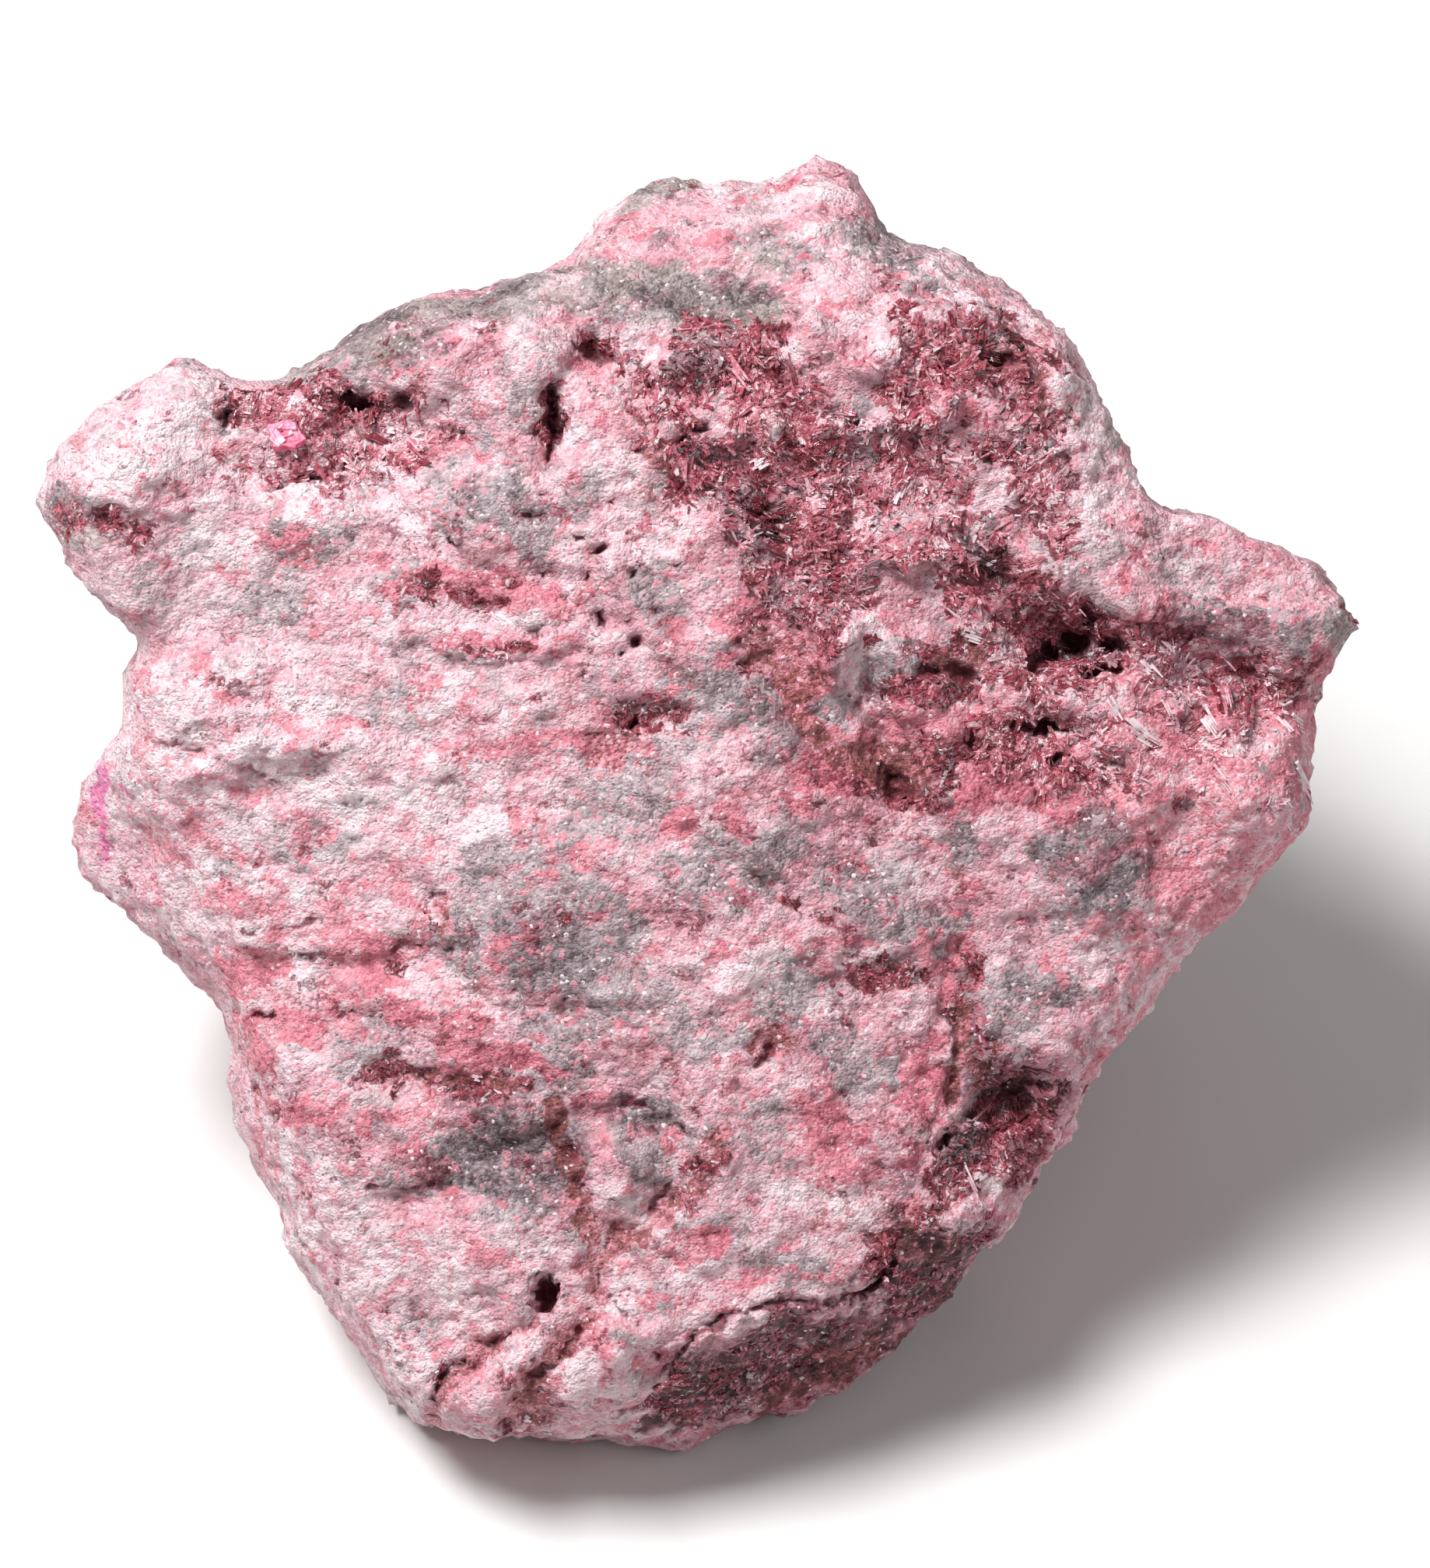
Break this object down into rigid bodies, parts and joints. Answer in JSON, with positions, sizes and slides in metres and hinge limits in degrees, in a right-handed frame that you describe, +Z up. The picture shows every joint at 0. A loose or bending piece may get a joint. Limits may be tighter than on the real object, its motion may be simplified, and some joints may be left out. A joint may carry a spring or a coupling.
{
  "type": "roselite mineral specimen",
  "caption": "Hand-sized wedge-shaped chunk of granular pink and grey rock with hollows lined by dark red bladed crystals, resting on a flat broken underside.",
  "frame": {"origin": "centre of the bounding box's underside, on the surface that the stone rests on", "axes": "+X to the right and +Z up as the broad crystal face is looked at, with that face leaning back and looking towards -Y and up"},
  "size_m": [0.1066, 0.0878, 0.0724],
  "materials": {
    "rock": "granular, matt, mottled salmon pink, white and grey",
    "crystal": "glossy dark red bladed crystals"
  },
  "bodies": {
    "root": {"matrix": "rock", "field_crystals": "crystal", "flank_crystals": "crystal", "pocket_crystals": "crystal", "cavity_crystals": "crystal"}
  },
  "joints": []
}
